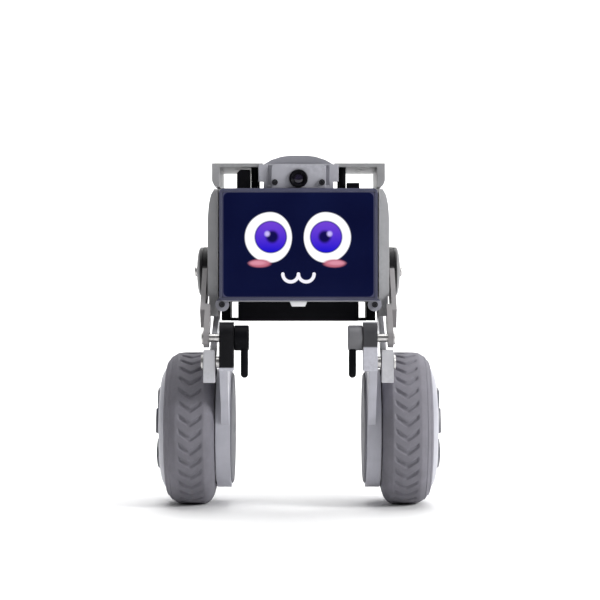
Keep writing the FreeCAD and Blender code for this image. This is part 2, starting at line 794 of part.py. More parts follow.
def build_thigh(name, side):
    """Servo horn, cranked thigh arm, hip cap, hip screw and knee pin."""
    hip = (AXLE_Y, D["hip_z"])
    knee = (KNEE_Y, D["knee_z"])
    far_x, far_end = D["thigh_hip_x"], D["thigh_hip_end_x"]
    near_x, near_end = D["thigh_knee_x"], D["thigh_knee_end_x"]
    # The crank lies just ahead of the side cover.
    share = 0.64
    bend = (hip[0] + (knee[0] - hip[0]) * share, hip[1] + (knee[1] - hip[1]) * share)
    share = 0.72
    bend_end = (hip[0] + (knee[0] - hip[0]) * share, hip[1] + (knee[1] - hip[1]) * share)
    arm = new_body(f"thigh_arm_{name}")
    leg_pad(arm, side, far_x, far_end, disc(hip[0], hip[1], D["hip_radius"]))
    leg_pad(arm, side, far_x, far_end, strip(hip, bend_end, size_of(9.6), size_of(5.4)))
    leg_pad(arm, side, near_x, far_end, strip(bend, bend_end, size_of(5.7), size_of(5.4)))
    leg_pad(arm, side, near_x, near_end, strip(bend, knee, size_of(5.7), D["knee_eye_radius"]))
    leg_pad(arm, side, near_x, near_end, disc(knee[0], knee[1], D["knee_eye_radius"]))
    leg_pocket(arm, side, near_x - 1, far_end + 1, disc(knee[0], knee[1], D["knee_pin_radius"]))
    leg_pocket(arm, side, near_x - 1, far_end + 1, disc(hip[0], hip[1], 1.5))

    middle = (0, *hip)
    horn = new_body(f"servo_horn_{name}", middle)
    end = D["servo_end_x"]
    leg_turn(horn, side, [(end - 3.6, 1.5), (end - 3.6, 2.95), (end + 1.6, 2.95),
                          (end + 1.6, D["horn_radius"]), (far_x, D["horn_radius"]), (far_x, 1.5)])

    cap = new_body(f"hip_cap_{name}", middle)
    start, end = far_end, D["hip_cap_end_x"]
    leg_turn(cap, side, [(start, 1.5), (start, D["hip_radius"]), (start + 1.4, D["hip_radius"]),
                         (end - 0.7, 10.4), (end - 0.15, 7.0), (end, 4.0), (end, 1.5)])

    screw = new_body(f"hip_screw_{name}", middle)
    start = D["servo_end_x"] - 3.0
    leg_turn(screw, side, [(start, 0), (start, 1.5), (end, 1.5), (end, 2.7),
                           (D["hip_screw_end_x"] - 0.4, 2.6), (D["hip_screw_end_x"], 2.1),
                           (D["hip_screw_end_x"], 0)])

    pin = new_body(f"knee_pin_{name}", (0, *knee))
    near, far = D["guide_x"] + 1.2, near_end
    leg_turn(pin, side, [(near, 0), (near, D["knee_pin_radius"]), (far, D["knee_pin_radius"]),
                         (far, 3.2), (far + 1.0, 2.9), (far + 1.0, 0)])


def build_link(name, side):
    """Second link: an eye on the body's bracket and a square block at its foot."""
    top = (LINK_TOP_Y, D["link_top_z"])
    foot = (KNEE_Y, LINK_PIN_Z)
    near = D["link_x"]
    far = near + D["link_thickness"]
    half = D["link_block_half"]
    link = new_body(f"drive_link_{name}")
    leg_pad(link, side, near, far, disc(top[0], top[1], D["link_eye_radius"]))
    leg_pad(link, side, near, far, strip(top, foot, D["link_half_width"], D["link_half_width"]))
    block_end = D["link_block_end_x"]
    leg_pad(link, side, near, block_end,
            rectangle(foot[0] - half, foot[0] + half, foot[1] - D["link_block_drop"],
                      foot[1] + D["link_block_rise"]))
    leg_pocket(link, side, near - 1, far + 1,
               disc(top[0], top[1], D["knee_pin_radius"] + D["running_play"]))
    leg_pocket(link, side, near - 1, block_end + 1,
               disc(foot[0], foot[1], D["link_pin_radius"] + D["link_pin_play"]))


def build_shank(name, side):
    """Shank with the motor housing, its cover, axle, stator and knee parts."""
    knee = (KNEE_Y, D["knee_z"])
    foot = (KNEE_Y, LINK_PIN_Z)
    axle = (AXLE_Y, AXLE_Z)
    near, arm_end, end = D["shank_x"], D["shank_arm_end_x"], D["housing_end_x"]
    play = D["knee_pin_radius"] + D["running_play"]
    shank = new_body(f"shank_{name}")
    leg_pad(shank, side, near, end, disc(axle[0], axle[1], D["housing_radius"]))
    leg_pad(shank, side, near + 0.4, arm_end, strip(knee, axle, D["knee_radius"], size_of(25)))
    leg_pad(shank, side, near + 0.4, arm_end, strip(foot, axle, D["knee_radius"], size_of(16)))
    crown = (knee[0], knee[1] + D["knee_crown"])
    block_near = D["knee_block_x"]
    leg_pad(shank, side, block_near, arm_end, disc(crown[0], crown[1], D["knee_radius"]))
    block_foot = (knee[0], D["knee_block_z"])
    leg_pad(shank, side, block_near, arm_end,
            strip(crown, block_foot, D["knee_radius"], D["knee_radius"]))
    leg_pad(shank, side, near + 0.4, arm_end, disc(foot[0], foot[1], D["knee_radius"]))
    leg_pocket(shank, side, near + 3.6, end + 1, disc(axle[0], axle[1], 26.5))
    leg_pad(shank, side, near + 3.5, D["stator_end_x"], disc(axle[0], axle[1], D["stator_bore"]))
    leg_pocket(shank, side, near - 1, D["stator_end_x"] + 1, disc(axle[0], axle[1], D["axle_radius"]))
    leg_pocket(shank, side, block_near - 1, arm_end + 1, disc(knee[0], knee[1], play))
    leg_pocket(shank, side, near + 1.5, arm_end + 1, disc(foot[0], foot[1], D["link_pin_radius"]))

    middle = (0, *axle)
    cover = new_body(f"motor_cover_{name}", middle)
    leg_turn(cover, side, [(near, 3), (near, 27.5), (near - 0.5, 27.5), (near - 1.1, 26.6),
                           (near - 1.1, 3)])

    stator = new_body(f"stator_{name}", middle)
    bore, outer = D["stator_bore"] + D["running_play"], D["stator_radius"]
    low, high = D["stator_x"], D["stator_end_x"]
    leg_turn(stator, side, [(low, bore), (low, outer), (high, outer), (high, bore)])
    slot = leg_pocket(stator, side, low - 1, high + 1, rectangle(-1.6, 1.6, 14, outer + 2))
    ring_of(stator, slot, 12)

    axle_bolt = new_body(f"axle_{name}", middle)
    last = D["rim_end_x"] + 0.1
    radius = D["axle_radius"]
    leg_turn(axle_bolt, side, [(near + 0.2, 0), (near + 0.2, radius), (last, radius),
                               (last, 3.8), (last + 2.2, 3.8), (last + 2.2, 0)])

    guide = new_body(f"knee_guide_{name}")
    low, high = D["guide_x"], D["guide_end_x"]
    leg_pad(guide, side, low, high, disc(knee[0], knee[1], D["knee_radius"] - 0.2))
    round_edges(guide, 1.2, lambda edge: abs(abs(edge.BoundBox.Center.x) - low.value) < 0.1)
    leg_pad(guide, side, high, block_near, disc(knee[0], knee[1], 4.2))
    tip = knee[1] - D["finger_length"] + D["finger_half_width"]
    reach = D["finger_half_width"]
    leg_pad(guide, side, low + 0.4, low + 0.4 + D["finger_thickness"],
            rectangle(knee[0] - reach, knee[0] + reach, tip, knee[1]))
    leg_pad(guide, side, low + 0.4, low + 0.4 + D["finger_thickness"], disc(knee[0], tip, reach))
    leg_pocket(guide, side, low + 1.1, block_near + 1, disc(knee[0], knee[1], play))

    pin = new_body(f"link_pin_{name}", (0, *foot))
    stem = D["link_pin_radius"]
    collar = D["link_x"] - 0.15
    block_end = D["link_block_end_x"] + 0.3
    leg_turn(pin, side, [(near + 1.6, 0), (near + 1.6, stem), (arm_end, stem), (arm_end, 2.8),
                         (collar, 2.8), (collar, stem), (block_end, stem),
                         (block_end, 3.6), (block_end + 0.9, 3.3), (block_end + 0.9, 0)])


def build_wheel(name, side):
    """Rim with its bearings, tyre and hub cap, all turned about the axle."""
    middle = (0, AXLE_Y, AXLE_Z)
    outer, wall = D["rim_radius"], D["rim_wall"]
    near, far = D["rim_x"], D["rim_end_x"]
    seat = D["bearing_radius"]
    rim = new_body(f"wheel_rim_{name}", middle)
    leg_turn(rim, side, [(near, outer - wall), (near, outer), (far, outer), (far, seat),
                         (far - 7, seat), (far - 7, 7.8), (far - 2, 7.8), (far - 2, outer - wall)])

    rings = []
    direction = "+X" if side > 0 else "-X"
    width = D["bearing_width"]
    for index, start in enumerate((far - 6.7, far - 3.4)):
        at = (start * side, AXLE_Y, AXLE_Z)
        whole = rod(f"bearing_outside_{name}_{index}", direction, at, seat - 0.005, width)
        hole = rod(f"bearing_inside_{name}_{index}", direction, at,
                   D["axle_radius"] + 0.02, width)
        rings.append(cut(f"bearing_{name}_{index}", whole, hole))
    group(f"wheel_bearings_{name}", rings)

    tyre = new_body(f"tyre_{name}", middle)
    inside, outside = D["tyre_x"], D["tyre_end_x"]
    tread = D["tyre_radius"]
    leg_turn(tyre, side, [
        (inside, outer), (inside, outer + 2), (inside + 1.2, tread - 4.0), (inside + 2.6, tread - 1.5),
        (D["tread_x"], tread), (D["tread_end_x"], tread), (outside - 3.0, tread - 1.9),
        (outside - 1.0, tread - 4.0), (outside, tread - 6.2),
        (outside, D["cap_seat_radius"]), (far, D["cap_seat_radius"]), (far, outer)])

    cap = new_body(f"hub_cap_{name}", middle)
    edge = D["cap_seat_radius"] - D["running_play"]
    brim, brim_radius = D["cap_rim_x"], D["cap_rim_radius"]
    end = D["wheel_end_x"]
    leg_turn(cap, side, [
        (far, edge - 2.2), (far, edge), (outside, edge), (brim - 1.3, edge - 0.8),
        (brim - 0.4, edge - 3.2), (brim, brim_radius), (end - 0.5, 19), (end, 17), (end, 0),
        (end - 2.2, 0), (end - 2.2, 17), (brim - 2.0, brim_radius), (outside - 1.6, edge - 2.2)])


# ---- Whole model ------------------------------------------------------------

def build_all():
    build_plates()
    build_side_covers()
    build_rear_cover()
    build_electronics()
    build_button()
    build_screen()
    build_camera()
    build_roof()
    build_servos()
    build_case_screws()
    for name, side in SIDES:
        build_thigh(name, side)
        build_link(name, side)
        build_shank(name, side)
        build_wheel(name, side)
    doc.recompute()


def check_all():
    """Stop on a failed object, an empty or invalid shape, or a cut that cuts nothing."""
    faults = []
    for item in doc.Objects:
        if "Invalid" in item.State or "Error" in item.State:
            faults.append(f"{item.Name}: {item.State}")
    for name, part in parts.items():
        if part.Shape.isNull() or not part.Shape.isValid():
            faults.append(f"{name}: empty or invalid shape")
    for item in doc.Objects:
        if item.TypeId == "PartDesign::Pocket" and item.BaseFeature is not None:
            if item.Shape.Volume > item.BaseFeature.Shape.Volume - 0.05:
                faults.append(f"{item.Name}: cuts nothing")
    if faults:
        raise RuntimeError("; ".join(faults))


def write_all():
    os.makedirs("parts", exist_ok=True)
    for name, part in sorted(parts.items()):
        part.Shape.exportStep(os.path.join("parts", f"{name}.step"))
    whole = Part.makeCompound([part.Shape for part in parts.values()])
    box = whole.BoundBox
    print(f"{len(parts)} nodes")
    print(f"X {box.XMin:.2f} to {box.XMax:.2f}")
    print(f"Y {box.YMin:.2f} to {box.YMax:.2f}")
    print(f"Z {box.ZMin:.2f} to {box.ZMax:.2f}")


build_all()
check_all()
write_all()
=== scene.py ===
"""Looks of the coding robot: finished meshes, materials, light and camera.

Everything is in metres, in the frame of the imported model: +Z up, the screen
faces -Y, +X is the robot's own left. `MM` turns millimetres into metres.
"""
import json
import math
import bmesh
import bpy
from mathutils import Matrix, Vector

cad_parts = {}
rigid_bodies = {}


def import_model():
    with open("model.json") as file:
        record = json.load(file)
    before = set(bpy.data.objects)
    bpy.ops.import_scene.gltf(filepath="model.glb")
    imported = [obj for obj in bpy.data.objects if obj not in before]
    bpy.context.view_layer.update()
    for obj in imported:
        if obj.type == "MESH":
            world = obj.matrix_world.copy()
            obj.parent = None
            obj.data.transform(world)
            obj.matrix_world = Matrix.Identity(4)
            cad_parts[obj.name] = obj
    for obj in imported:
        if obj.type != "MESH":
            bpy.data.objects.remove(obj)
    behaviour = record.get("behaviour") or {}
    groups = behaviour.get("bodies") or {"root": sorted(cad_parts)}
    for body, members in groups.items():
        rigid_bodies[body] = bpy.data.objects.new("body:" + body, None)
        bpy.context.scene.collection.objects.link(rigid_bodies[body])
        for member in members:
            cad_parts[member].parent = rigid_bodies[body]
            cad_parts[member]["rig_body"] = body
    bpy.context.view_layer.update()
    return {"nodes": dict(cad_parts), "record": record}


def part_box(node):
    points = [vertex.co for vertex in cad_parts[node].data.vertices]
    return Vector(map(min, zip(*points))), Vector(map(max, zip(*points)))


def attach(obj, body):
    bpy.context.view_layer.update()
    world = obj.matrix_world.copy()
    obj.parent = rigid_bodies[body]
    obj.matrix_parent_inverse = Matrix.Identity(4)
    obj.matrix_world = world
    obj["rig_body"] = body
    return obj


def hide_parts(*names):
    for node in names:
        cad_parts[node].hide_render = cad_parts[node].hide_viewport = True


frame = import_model()

MM = 0.001
NODES = frame["nodes"]
SIDES = (("left", 1), ("right", -1))


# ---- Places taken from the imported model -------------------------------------

def centre_of(node):
    low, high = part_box(node)
    return (low + high) / 2


AXLE = centre_of("axle_left")
HIP = centre_of("hip_cap_left")
KNEE = centre_of("knee_pin_left")
GLASS_LOW, GLASS_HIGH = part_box("display_glass")
SCREEN = (GLASS_LOW + GLASS_HIGH) / 2


# ---- Node materials ---------------------------------------------------------

class Shader:
    """A node material under construction, with short ways to add nodes."""

    def __init__(self, name):
        self.material = bpy.data.materials.new(name)
        self.material.use_nodes = True
        self.tree = self.material.node_tree
        self.surface = self.tree.nodes["Principled BSDF"]
        self.place = self.tree.nodes.new("ShaderNodeTexCoord").outputs["Object"]

    def node(self, kind, **settings):
        made = self.tree.nodes.new(kind)
        for key, value in settings.items():
            setattr(made, key, value)
        return made

    def feed(self, value, socket):
        """Put a number, a colour or another node's output into a socket."""
        if isinstance(value, bpy.types.NodeSocket):
            self.tree.links.new(value, socket)
        else:
            socket.default_value = value

    def math(self, operation, first, second=0.0):
        made = self.node("ShaderNodeMath", operation=operation)
        self.feed(first, made.inputs[0])
        self.feed(second, made.inputs[1])
        return made.outputs[0]

    def mix(self, factor, first, second):
        made = self.node("ShaderNodeMix", data_type="RGBA")
        self.feed(factor, made.inputs["Factor"])
        self.feed(first, made.inputs[6])
        self.feed(second, made.inputs[7])
        return made.outputs[2]

    def span(self, value, low, high, to_low, to_high, kind="LINEAR"):
        """Map one range of a value to another, clamped."""
        made = self.node("ShaderNodeMapRange", interpolation_type=kind)
        for index, item in enumerate((value, low, high, to_low, to_high)):
            self.feed(item, made.inputs[index])
        return made.outputs[0]

    def noise(self, size, detail=3.0, stretch=None, roughness=0.55):
        """Noise whose features are about `size` metres across."""
        place = self.place
        if stretch is not None:
            mapping = self.node("ShaderNodeMapping")
            mapping.inputs["Scale"].default_value = stretch
            self.feed(place, mapping.inputs["Vector"])
            place = mapping.outputs["Vector"]
        made = self.node("ShaderNodeTexNoise")
        self.feed(place, made.inputs["Vector"])
        made.inputs["Scale"].default_value = 1.0 / size
        made.inputs["Detail"].default_value = detail
        made.inputs["Roughness"].default_value = roughness
        return made.outputs["Fac"]

    def bump(self, height, distance, strength):
        made = self.node("ShaderNodeBump")
        made.inputs["Strength"].default_value = strength
        made.inputs["Distance"].default_value = distance
        self.feed(height, made.inputs["Height"])
        return made.outputs["Normal"]

    def along(self, letter):
        """One coordinate of the place on the piece."""
        split = self.node("ShaderNodeSeparateXYZ")
        self.feed(self.place, split.inputs[0])
        return split.outputs[letter]

    def set(self, **values):
        for key, value in values.items():
            self.feed(value, self.surface.inputs[key.replace("_", " ")])


def rgb(*colour):
    return (*colour, 1.0)


def scaled(colour, factor):
    return rgb(*(min(1.0, part * factor) for part in colour))


# Half the width, in millimetres, over which a mask fades.
MASK_EDGE = 0.2


def above(height):
    """Mask of everything above a height in millimetres."""

    def mask(make):
        return make.span(make.along("Z"), (height - MASK_EDGE) * MM,
                         (height + MASK_EDGE) * MM, 0.0, 1.0)

    return mask


def round_about(centre, inner, outer):
    """Mask of the ring between two radii, in millimetres, about an X axis."""

    def mask(make):
        ahead = make.math("SUBTRACT", make.along("Y"), centre.y)
        rise = make.math("SUBTRACT", make.along("Z"), centre.z)
        reach = make.math("SQRT", make.math("ADD", make.math("MULTIPLY", ahead, ahead),
                                            make.math("MULTIPLY", rise, rise)))
        within = make.span(reach, (outer - MASK_EDGE) * MM, (outer + MASK_EDGE) * MM, 1.0, 0.0)
        beyond = make.span(reach, (inner - MASK_EDGE) * MM, (inner + MASK_EDGE) * MM, 0.0, 1.0)
        return make.math("MULTIPLY", within, beyond)

    return mask


def inboard(limit):
    """Mask of everything nearer to the middle of the robot than a place on X."""

    def mask(make):
        out = make.math("ABSOLUTE", make.along("X"))
        return make.span(out, (limit - MASK_EDGE) * MM, (limit + MASK_EDGE) * MM, 1.0, 0.0)

    return mask


def on_petals(make):
    """Mask of the raised faces of the hub's petals."""
    out = make.math("ABSOLUTE", make.along("X"))
    raised = make.span(out, 68.5 * MM, 68.8 * MM, 0.0, 1.0)
    return make.math("MULTIPLY", raised, round_about(AXLE, 7.7, 22.0)(make))


def moulded(name, colour, rough=0.45, grain=0.35, wear=0.5, mottle=0.06, coat=0.0,
            gloss=0.5, second=None):
    """Moulded plastic: faint mottling, fine spark-eroded grain, paler worn edges.

    `second` is another colour and a function that gives the mask of where it is.
    """
    make = Shader(name)
    cloud = make.noise(9 * MM, detail=4.0)
    body = make.mix(make.span(cloud, 0.3, 0.7, 0.0, 1.0),
                    scaled(colour, 1 - mottle), scaled(colour, 1 + mottle))
    if second is not None:
        other, mask = second
        inside = mask(make)
        body = make.mix(inside, body, make.mix(cloud, scaled(other, 0.85), scaled(other, 1.2)))
    pointed = make.node("ShaderNodeNewGeometry").outputs["Pointiness"]
    edge = make.span(pointed, 0.54, 0.64, 0.0, wear)
    rubbed = make.math("MULTIPLY", edge, make.span(make.noise(1.5 * MM), 0.4, 0.6, 0.0, 1.0))
    if second is not None:
        rubbed = make.math("MULTIPLY", rubbed, make.math("SUBTRACT", 1.0, inside))
    body = make.mix(rubbed, body, scaled([part + 0.02 for part in colour], 1.3))
    smear = make.noise(5 * MM, detail=2.0)
    make.set(Base_Color=body, Roughness=make.span(smear, 0.3, 0.7, rough - 0.06, rough + 0.08),
             Normal=make.bump(make.noise(0.22 * MM, detail=2.0), 0.02 * MM, grain))
    make.surface.inputs["Coat Weight"].default_value = coat
    make.surface.inputs["Coat Roughness"].default_value = 0.15
    make.surface.inputs["Specular IOR Level"].default_value = gloss
    return make.material


def metal(name, colour, rough=0.32, brush=(1, 1, 1), metallic=1.0, wear=0.3):
    """Machined or coated metal, with fine marks along one direction."""
    make = Shader(name)
    marks = make.noise(0.5 * MM, detail=3.0, stretch=brush)
    cloud = make.noise(7 * MM)
    body = make.mix(make.span(cloud, 0.3, 0.7, 0.0, 1.0),
                    scaled(colour, 0.93), scaled(colour, 1.06))
    pointed = make.node("ShaderNodeNewGeometry").outputs["Pointiness"]
    edge = make.span(pointed, 0.56, 0.68, 0.0, wear)
    rubbed = make.math("MULTIPLY", edge, make.span(make.noise(1.5 * MM), 0.4, 0.6, 0.0, 1.0))
    body = make.mix(rubbed, body, scaled(colour, 1.5))
    make.set(Base_Color=body, Roughness=make.span(marks, 0.25, 0.75, rough - 0.07, rough + 0.10),
             Normal=make.bump(marks, 0.008 * MM, 0.35))
    make.surface.inputs["Metallic"].default_value = metallic
    return make.material


def rubber(name, colour):
    """Tyre rubber: matt, dusty in places, with a pebbled skin."""
    make = Shader(name)
    cloud = make.noise(8 * MM, detail=5.0)
    dust = make.noise(1.6 * MM, detail=4.0)
    body = make.mix(make.span(cloud, 0.3, 0.7, 0.0, 1.0),
                    scaled(colour, 0.9), scaled(colour, 1.08))
    body = make.mix(make.span(dust, 0.55, 0.75, 0.0, 0.35), body, scaled(colour, 1.35))
    skin = make.bump(make.noise(0.35 * MM, detail=3.0), 0.04 * MM, 0.45)
    make.set(Base_Color=body, Roughness=make.span(dust, 0.3, 0.7, 0.62, 0.82), Normal=skin)
    make.surface.inputs["Specular IOR Level"].default_value = 0.35
    return make.material


BEZEL = rgb(0.060, 0.062, 0.115)


def screen_picture():
    """Dark cover glass with the lit cartoon face behind it."""
    make = Shader("screen_picture")
    across = make.along("X")
    up = make.math("SUBTRACT", make.along("Z"), SCREEN.z)
    # One drawing serves both halves, so places are counted from the middle line.
    outward = make.math("ABSOLUTE", across)

    def oval(along_x, centre_x, centre_z, inner, outer, tall, soft=0.03):
        """Mask of an egg shape; inner and outer are its two half widths."""
        offset = make.math("SUBTRACT", along_x, centre_x * MM)
        wide = make.math("DIVIDE", make.math("MAXIMUM", offset, 0.0), outer * MM)
        thin = make.math("DIVIDE", make.math("MINIMUM", offset, 0.0), inner * MM)
        side = make.math("ADD", wide, thin)
        rise = make.math("DIVIDE", make.math("SUBTRACT", up, centre_z * MM), tall * MM)
        reach = make.math("SQRT", make.math("ADD", make.math("MULTIPLY", side, side),
                                            make.math("MULTIPLY", rise, rise)))
        return make.span(reach, 1 - soft, 1 + soft, 1.0, 0.0, "SMOOTHSTEP")

    def arc(centre_x, centre_z, radius, half_width):
        """Mask of the lower half of a ring, with round ends."""
        offset = make.math("SUBTRACT", outward, centre_x * MM)
        rise = make.math("SUBTRACT", up, centre_z * MM)
        reach = make.math("SQRT", make.math("ADD", make.math("MULTIPLY", offset, offset),
                                            make.math("MULTIPLY", rise, rise)))
        off_line = make.math("ABSOLUTE", make.math("SUBTRACT", reach, radius * MM))
        line = make.span(off_line, (half_width - 0.15) * MM, (half_width + 0.15) * MM, 1.0, 0.0)
        below = make.span(rise, 0.0, 0.1 * MM, 1.0, 0.0)
        mask = make.math("MULTIPLY", line, below)
        for end in (-1, 1):
            dot_x = centre_x + end * radius
            dot = oval(outward, dot_x, centre_z, half_width, half_width, half_width, 0.1)
            mask = make.math("MAXIMUM", mask, dot)
        return mask

    def paint(mask, colour):
        nonlocal picture
        picture = make.mix(mask, picture, colour)

    glow = make.span(make.noise(30 * MM, detail=1.0), 0.3, 0.7, 0.0, 1.0)
    picture = make.mix(glow, rgb(0.0012, 0.0024, 0.026), rgb(0.0024, 0.0048, 0.036))
    for side, eye_x in ((-1, 13.45), (1, 12.9)):
        half = make.math("MULTIPLY", across, side)
        paint(oval(half, eye_x, 3.5, 10.3, 12.3, 12.1), rgb(0.96, 0.96, 0.99))
    shade = make.span(up, -3.4 * MM, 10.2 * MM, 0.0, 1.0)
    iris = make.mix(shade, rgb(0.008, 0.004, 0.58), rgb(0.150, 0.050, 0.62))
    # Rim, iris, pupil and glint of each eye.
    paint(oval(outward, 13.3, 3.7, 7.8, 7.8, 7.8, 0.05), rgb(0.015, 0.008, 0.20))
    paint(oval(outward, 13.3, 3.7, 7.3, 7.3, 7.3, 0.06), iris)
    paint(oval(outward, 12.6, 3.8, 2.9, 2.9, 2.9, 0.35), rgb(0.004, 0.002, 0.07))
    paint(oval(outward, 15.0, 5.2, 1.2, 1.2, 1.2, 0.6), rgb(0.55, 0.47, 0.90))
    for side, blush_x in ((-1, 18.7), (1, 17.4)):
        cheek = make.math("MULTIPLY", across, side)
        paint(oval(cheek, blush_x, -9.0, 5.2, 5.0, 1.9, 0.25), rgb(0.50, 0.14, 0.20))
        core = oval(cheek, blush_x + 0.8, -8.8, 3.8, 3.8, 1.0, 0.5)
        paint(make.math("MULTIPLY", core, 0.6), rgb(0.78, 0.36, 0.46))
    paint(arc(3.75, -14.1, 3.75, 0.8), rgb(0.86, 0.85, 0.93))
    # A dark border with round corners frames the lit area.
    round_off = 2.6 * MM
    corner = []
    for distance, half in ((outward, 36.2), (make.math("ABSOLUTE", up), 25.1)):
        past = make.math("SUBTRACT", distance, half * MM - round_off)
        past = make.math("MAXIMUM", past, 0.0)
        corner.append(make.math("MULTIPLY", past, past))
    reach = make.math("SQRT", make.math("ADD", *corner))
    paint(make.span(reach, round_off - 0.2 * MM, round_off + 0.1 * MM, 0.0, 1.0), BEZEL)
    make.set(Base_Color=make.mix(0.7, picture, rgb(0.001, 0.001, 0.002)), Emission_Color=picture,
             Roughness=make.span(make.noise(12 * MM), 0.3, 0.7, 0.12, 0.18))
    make.surface.inputs["Emission Strength"].default_value = 0.8
    make.surface.inputs["Specular IOR Level"].default_value = 0.12
    return make.material


def lens_glass():
    """Coated front glass: near black, with a faint violet bloom off centre."""
    make = Shader("lens_glass")
    bloom = make.span(make.noise(3 * MM, detail=1.0), 0.35, 0.65, 0.0, 1.0)
    tint = make.mix(bloom, rgb(0.002, 0.002, 0.006), rgb(0.010, 0.006, 0.024))
    make.set(Base_Color=tint, Roughness=make.span(make.noise(1 * MM), 0.3, 0.7, 0.03, 0.07))
    make.surface.inputs["Coat Weight"].default_value = 0.2
    make.surface.inputs["Coat Roughness"].default_value = 0.03
    return make.material


BLACK = (0.0045, 0.0045, 0.006)
SHANK = (0.46, 0.46, 0.51)
PAINT = {
    "cover_grey": moulded("cover_grey", (0.40, 0.40, 0.41), rough=0.42, wear=0.35, gloss=0.4),
    "roof_grey": metal("roof_grey", (0.33, 0.33, 0.34), rough=0.45, brush=(1, 12, 1),
                       metallic=0.3),
    "camera_grey": moulded("camera_grey", (0.37, 0.37, 0.41), rough=0.40, wear=0.4,
                           second=((0.24, 0.24, 0.27), above(167.4))),
    "bezel_grey": moulded("bezel_grey", (0.33, 0.33, 0.38), rough=0.36, wear=0.3, coat=0.1,
                          second=((0.060, 0.062, 0.105), above(101.2))),
    "panel_black": moulded("panel_black", BLACK, rough=0.3),
    "clip_white": moulded("clip_white", (0.86, 0.86, 0.88), rough=0.4, mottle=0.02),
    "black_plastic": moulded("black_plastic", BLACK, rough=0.40, wear=0.08, gloss=0.05),
    "lens_black": moulded("lens_black", (0.003, 0.003, 0.005), rough=0.3, grain=0.15,
                          gloss=0.1, wear=0.1),
    "dark_arm": moulded("dark_arm", (0.24, 0.23, 0.235), rough=0.42, wear=0.3, gloss=0.2,
                        second=((0.009, 0.009, 0.010), round_about(HIP, -1.0, 13.0))),
    "light_link": metal("light_link", (0.52, 0.52, 0.55), rough=0.42, brush=(1, 1, 7),
                        metallic=0.25),
    # The near-black disc about the knee pin is painted shade, where the knee barrel shades the shank.
    "shank_grey": moulded("shank_grey", SHANK, rough=0.5, wear=0.4, gloss=0.15,
                          second=((0.05, 0.05, 0.055), round_about(KNEE, -1.0, 7.6))),
    "hip_cap_grey": moulded("hip_cap_grey", (0.22, 0.22, 0.225), rough=0.36, wear=0.3, gloss=0.3,
                            second=((0.008, 0.008, 0.009), inboard(48.7))),
    "steel": metal("steel", (0.60, 0.59, 0.58), rough=0.30, brush=(10, 1, 1)),
    "screw_black": metal("screw_black", (0.03, 0.03, 0.035), rough=0.3, metallic=0.6),
    "tyre_grey": rubber("tyre_grey", (0.175, 0.170, 0.195)),
    "rim_grey": metal("rim_grey", (0.36, 0.36, 0.38), rough=0.3, brush=(1, 8, 8)),
    "hub_grey": moulded("hub_grey", (0.42, 0.42, 0.47), rough=0.36, wear=0.4,
                        second=((0.085, 0.085, 0.10), on_petals)),
    "board_green": moulded("board_green", (0.012, 0.085, 0.040), rough=0.3, coat=0.4),
    "battery_wrap": moulded("battery_wrap", (0.05, 0.11, 0.32), rough=0.25, coat=0.3),
    "socket_steel": metal("socket_steel", (0.62, 0.62, 0.63), rough=0.25, brush=(1, 10, 1)),
    "screen_glass": screen_picture(),
}
LENS_GLASS = lens_glass()
# A painted shadow, where the body's shadow falls, makes the shank of the robot's right leg black above
# 69.5 mm; the other knee is grey, its guide barrel a lighter grey as a painted highlight, with a black
# finger.
SHANK_PAINTED_SHADOW = moulded("shank_painted_shadow", SHANK, rough=0.5, wear=0.4, gloss=0.15,
                           second=(BLACK, above(69.5)))
MOTOR_GREY = moulded("motor_grey", (0.20, 0.20, 0.22), rough=0.6, wear=0.3, gloss=0.1)
# Knee guide barrel on the robot's left: a lighter grey as a painted highlight of the light falling on
# black plastic.
GUIDE_PAINTED_HIGHLIGHT = moulded("guide_painted_highlight", (0.15, 0.15, 0.16), rough=0.4, wear=0.3, gloss=0.3)
SLOT_OF = {part["node"]: part["material_slot"] for part in frame["record"]["subparts"]}


# ---- Meshes -----------------------------------------------------------------

SHARP_ANGLE = math.radians(32)


def add_piece(name, vertices, faces, body, slot, material=None):
    """A smooth-shaded mesh piece that rides on a body."""
    mesh = bpy.data.meshes.new(name)
    mesh.from_pydata(vertices, [], faces)
    mesh.validate()
    mesh.polygons.foreach_set("use_smooth", [True] * len(mesh.polygons))
    mesh.set_sharp_from_angle(angle=SHARP_ANGLE)
    mesh.materials.append(material or PAINT[slot])
    piece = bpy.data.objects.new(name, mesh)
    bpy.context.scene.collection.objects.link(piece)
    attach(piece, body)
    return piece


def body_of_node(node):
    return NODES[node]["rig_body"]


def soften(node, width=0.3, segments=3, material=None):
    """The node's own shape with its triangles merged and its edges broken."""
    work = bmesh.new()
    work.from_mesh(NODES[node].data)
    bmesh.ops.remove_doubles(work, verts=work.verts, dist=1e-6)
    bmesh.ops.dissolve_limit(work, angle_limit=math.radians(0.6), verts=work.verts,
                             edges=work.edges)
    work.verts.ensure_lookup_table()
    vertices = [tuple(vertex.co) for vertex in work.verts]
    faces = [[vertex.index for vertex in face.verts] for face in work.faces]
    work.free()
    slot = SLOT_OF[node]
    piece = add_piece(f"{node}_finish", vertices, faces, body_of_node(node), slot, material)
    bevel = piece.modifiers.new("broken_edges", "BEVEL")
    bevel.width = width * MM
    bevel.segments = segments
    bevel.limit_method = "ANGLE"
    bevel.angle_limit = math.radians(38)
    bevel.harden_normals = True
    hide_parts(node)
    return piece


def rounded(points, radius, steps=5):
    """An open outline with each inner corner turned into a small arc."""
    points = [Vector(point) for point in points]
    smooth = [points[0]]
    for before, corner, after in zip(points, points[1:], points[2:]):
        back, ahead = before - corner, after - corner
        trim = min(radius, back.length * 0.45, ahead.length * 0.45)
        start = corner + back.normalized() * trim
        end = corner + ahead.normalized() * trim
        for step in range(steps + 1):
            share = step / steps
            smooth.append(start * (1 - share) ** 2 + corner * 2 * share * (1 - share)
                          + end * share ** 2)
    smooth.append(points[-1])
    return smooth


